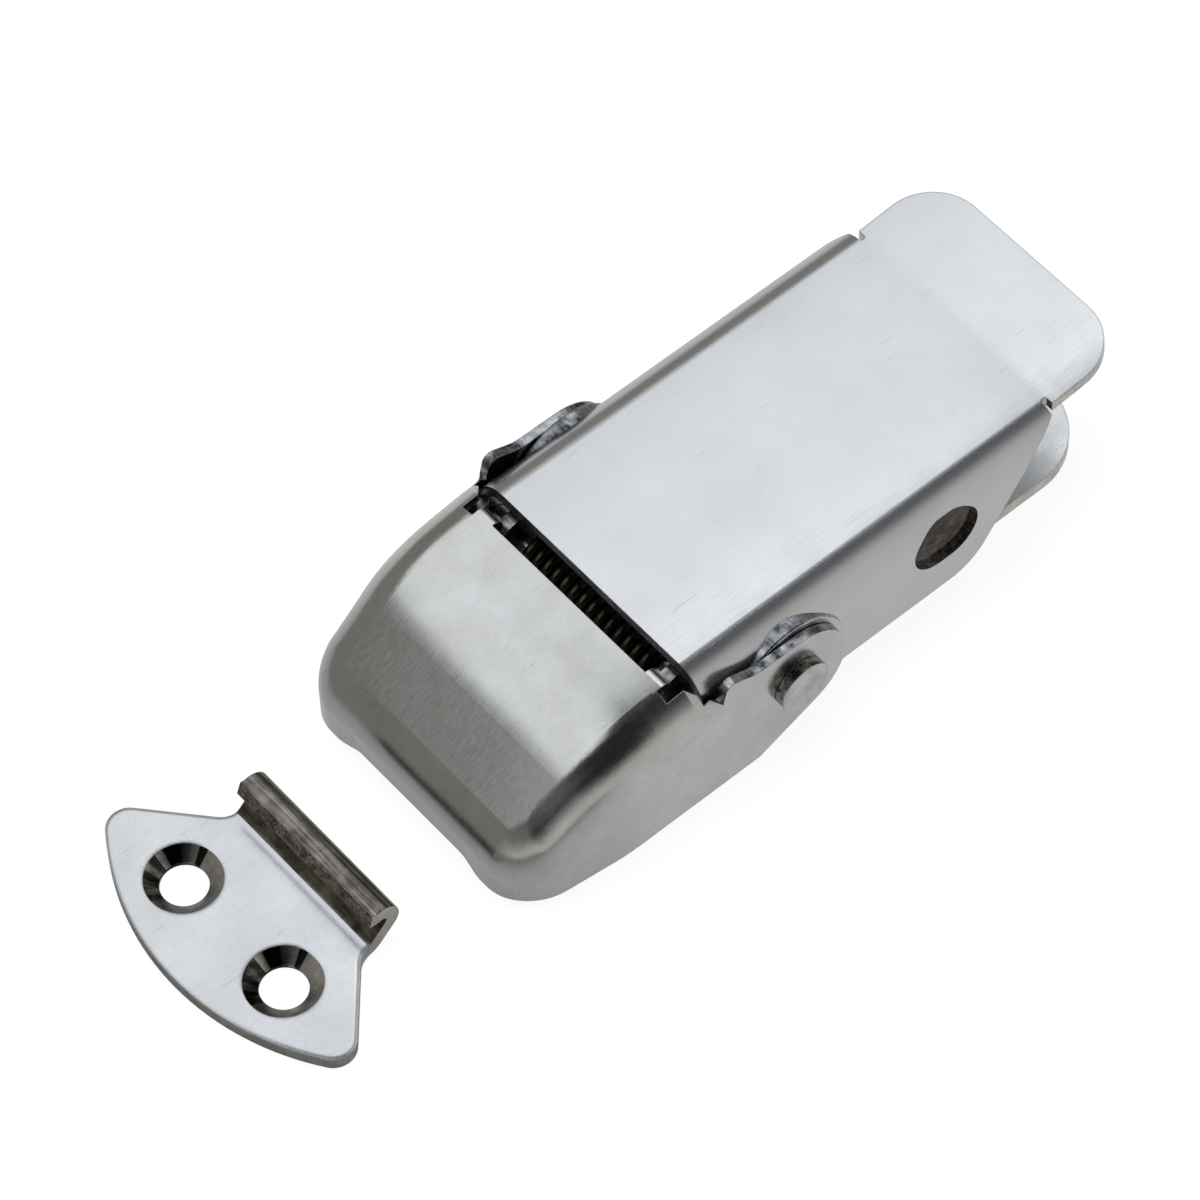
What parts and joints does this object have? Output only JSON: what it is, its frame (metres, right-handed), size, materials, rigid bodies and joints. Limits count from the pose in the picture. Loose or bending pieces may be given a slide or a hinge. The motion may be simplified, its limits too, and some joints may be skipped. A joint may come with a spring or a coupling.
{
  "type": "over centre toggle latch",
  "caption": "Over centre toggle latch: folded lever with thumb tab and padlock eye, drawn hook cap on rivets, sprung base and a curled keeper plate.",
  "frame": {"origin": "on the mounting face, midway between the two base screws", "axes": "+X along the latch towards the thumb tab, -X towards the keeper, +Z away from the mounting face"},
  "size_m": [0.1088, 0.038, 0.0177],
  "materials": {
    "base_steel": "satin stainless sheet",
    "lever_steel": "satin stainless sheet with a fine linen grain",
    "cap_steel": "satin stainless sheet, drawn and lightly mottled at the nose",
    "pin_steel": "turned stainless bar",
    "rivet_steel": "headed stainless wire with a rough edge",
    "spring_steel": "drawn stainless spring wire",
    "keeper_steel": "tumbled stainless sheet with burnished edges"
  },
  "bodies": {
    "base": {"base_plate": "base_steel", "lever_pin": "pin_steel", "torsion_spring": "spring_steel", "keeper": "keeper_steel"},
    "lever": {"lever": "lever_steel", "hook_rivet_left": "rivet_steel", "hook_rivet_right": "rivet_steel"},
    "hook": {"hook_cap": "cap_steel"}
  },
  "joints": [
    {"name": "lever_lift", "type": "hinge", "parent": "base", "child": "lever", "pos_m": [-0.0245, 0, 0.0103], "axis": [0, -1, 0], "range_deg": [0, 105]},
    {"name": "hook_swing", "type": "hinge", "parent": "lever", "child": "hook", "pos_m": [-0.0145, 0, 0.0091], "axis": [0, 1, 0], "range_deg": [0, 116]}
  ],
  "couplings": [
    {"joint": "hook_swing", "follows": "lever_lift", "ratio": 1.1}
  ]
}
